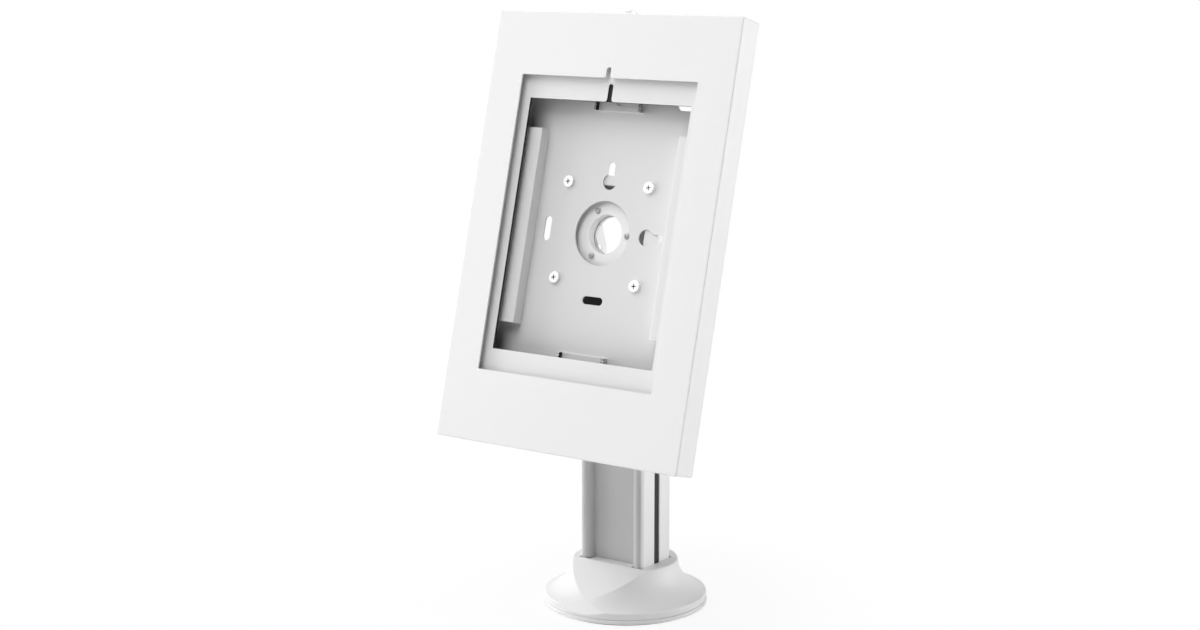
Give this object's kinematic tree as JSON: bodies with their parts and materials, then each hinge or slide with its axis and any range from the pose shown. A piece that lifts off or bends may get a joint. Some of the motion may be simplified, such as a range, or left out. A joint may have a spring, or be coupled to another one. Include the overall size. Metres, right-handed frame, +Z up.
{
  "type": "tabletop tablet holder",
  "caption": "Lockable tablet enclosure with a screen window, on a tilt-and-swivel head over a short extruded column with a round bolt-down table base.",
  "frame": {"origin": "centre of the base pad's underside, on the table, on the column's axis", "axes": "+Z up along the column, -Y towards the user, who faces the screen, +X to the user's right"},
  "size_m": [0.225, 0.1632, 0.4697],
  "materials": {
    "white_coat": "satin powder coat",
    "inner_coat": "satin powder coat",
    "anodised": "satin anodised",
    "satin_grey": "satin paint",
    "zinc_steel": "zinc plated",
    "lock_chrome": "polished",
    "black_plastic": "fine matt texture",
    "pad_rubber": "matt",
    "nylon": "plain"
  },
  "bodies": {
    "stand": {"base_pad": "pad_rubber", "base_disc": "zinc_steel", "column_base_screws": "zinc_steel", "column": "anodised", "slot_strip_left": "black_plastic", "slot_strip_right": "black_plastic", "column_cap": "black_plastic", "head_bracket": "white_coat", "head_screws": "zinc_steel", "pivot_bolts": "zinc_steel", "pivot_washers": "nylon"},
    "base_cover": {"base_cover": "satin_grey"},
    "tilt_head": {"tilt_yoke": "white_coat", "clamp_ring": "white_coat", "ring_screws": "zinc_steel", "friction_disc_front": "nylon", "friction_disc_rear": "nylon"},
    "enclosure": {"vesa_plate": "zinc_steel", "rear_tray": "white_coat", "vesa_screws": "zinc_steel", "channel_left": "zinc_steel", "channel_right": "zinc_steel", "top_bracket": "zinc_steel", "bottom_bracket": "zinc_steel", "lock_keeper": "zinc_steel"},
    "front": {"front_cover": "white_coat", "inner_frame": "inner_coat", "frame_studs": "zinc_steel", "frame_spacers": "nylon", "frame_nuts": "zinc_steel", "lock_barrel": "lock_chrome", "lock_nut": "lock_chrome"},
    "lock": {"lock_plug": "lock_chrome", "lock_cam": "zinc_steel", "cam_screw": "zinc_steel"}
  },
  "joints": [
    {"name": "cover_lift", "type": "slide", "parent": "stand", "child": "base_cover", "axis": [0, 0, 1], "range_m": [0, 0.04]},
    {"name": "tilt", "type": "hinge", "parent": "stand", "child": "tilt_head", "pos_m": [0, 0, 0.2828], "axis": [-1, 0, 0], "range_deg": [-14.8, 30]},
    {"name": "swivel", "type": "hinge", "parent": "tilt_head", "child": "enclosure", "pos_m": [0, -0.03231, 0.30065], "axis": [0, -0.9668, 0.2554], "continuous": true},
    {"name": "front_off", "type": "slide", "parent": "enclosure", "child": "front", "axis": [0, -0.9668, 0.2554], "range_m": [0, 0.04]},
    {"name": "lock_turn", "type": "hinge", "parent": "front", "child": "lock", "pos_m": [0, -0.0415, 0.30307], "axis": [0, -0.2554, -0.9668], "range_deg": [0, 90]}
  ]
}
